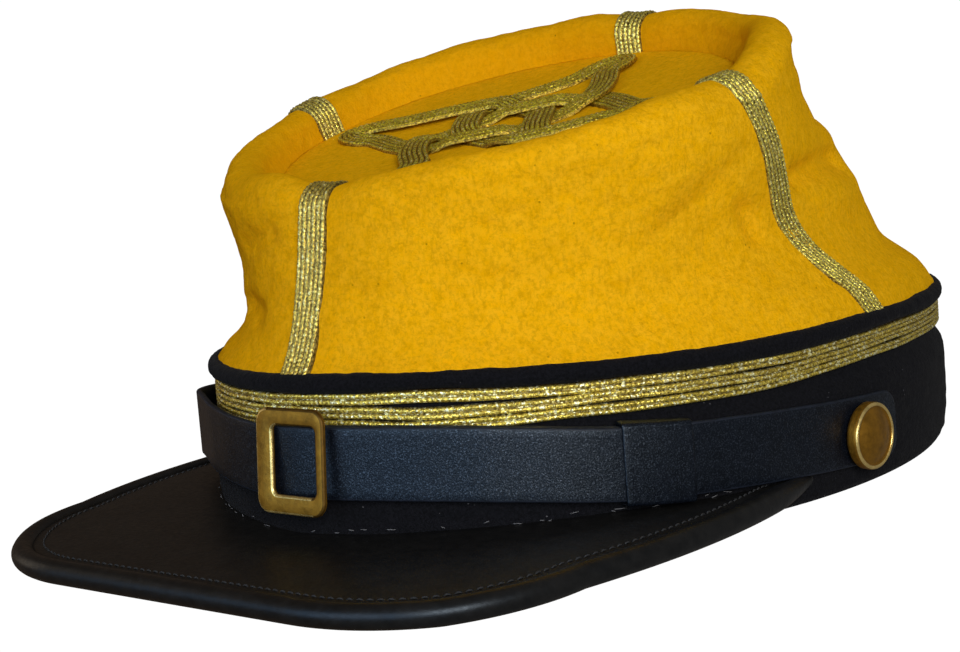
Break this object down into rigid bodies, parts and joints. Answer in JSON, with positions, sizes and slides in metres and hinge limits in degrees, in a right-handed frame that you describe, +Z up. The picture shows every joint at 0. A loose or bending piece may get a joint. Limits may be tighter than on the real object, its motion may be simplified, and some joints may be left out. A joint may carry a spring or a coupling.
{
  "type": "kepi cap",
  "caption": "Round kepi cap with a sunk, forward-sloping crown, dark band with braid rows, flat visor and a buckled chin strap with side buttons.",
  "frame": {"origin": "centre of the bounding box at the plane the cap rests on", "axes": "+Z up, -Y the way the visor points, +X the wearer's left"},
  "size_m": [0.1784, 0.2614, 0.1162],
  "materials": {
    "band": "black wool cloth, matt",
    "band_braid_1": "gold wire braid, glinting",
    "band_braid_2": "gold wire braid, glinting",
    "band_braid_3": "gold wire braid, glinting",
    "buckle": "aged brass, satin",
    "chin_strap_left": "blue-black leather, satin",
    "chin_strap_right": "blue-black leather, satin",
    "crown_knot": "gold wire braid, glinting",
    "crown_side": "golden yellow wool felt, matt and fuzzy",
    "crown_top": "golden yellow wool felt, matt and fuzzy",
    "side_button_left": "aged brass, satin",
    "side_button_right": "aged brass, satin",
    "strap_keeper": "blue-black leather, satin",
    "stripe_back": "gold wire braid, glinting",
    "stripe_front": "gold wire braid, glinting",
    "stripe_left": "gold wire braid, glinting",
    "stripe_right": "gold wire braid, glinting",
    "visor": "black leather, soft sheen",
    "visor_binding": "black leather, soft sheen",
    "welt": "black wool cloth, matt"
  },
  "bodies": {
    "root": {"band": "band", "band_braid_1": "band_braid_1", "band_braid_2": "band_braid_2", "band_braid_3": "band_braid_3", "buckle": "buckle", "chin_strap_left": "chin_strap_left", "chin_strap_right": "chin_strap_right", "crown_knot": "crown_knot", "crown_side": "crown_side", "crown_top": "crown_top", "side_button_left": "side_button_left", "side_button_right": "side_button_right", "strap_keeper": "strap_keeper", "stripe_back": "stripe_back", "stripe_front": "stripe_front", "stripe_left": "stripe_left", "stripe_right": "stripe_right", "visor": "visor", "visor_binding": "visor_binding", "welt": "welt"}
  },
  "joints": []
}
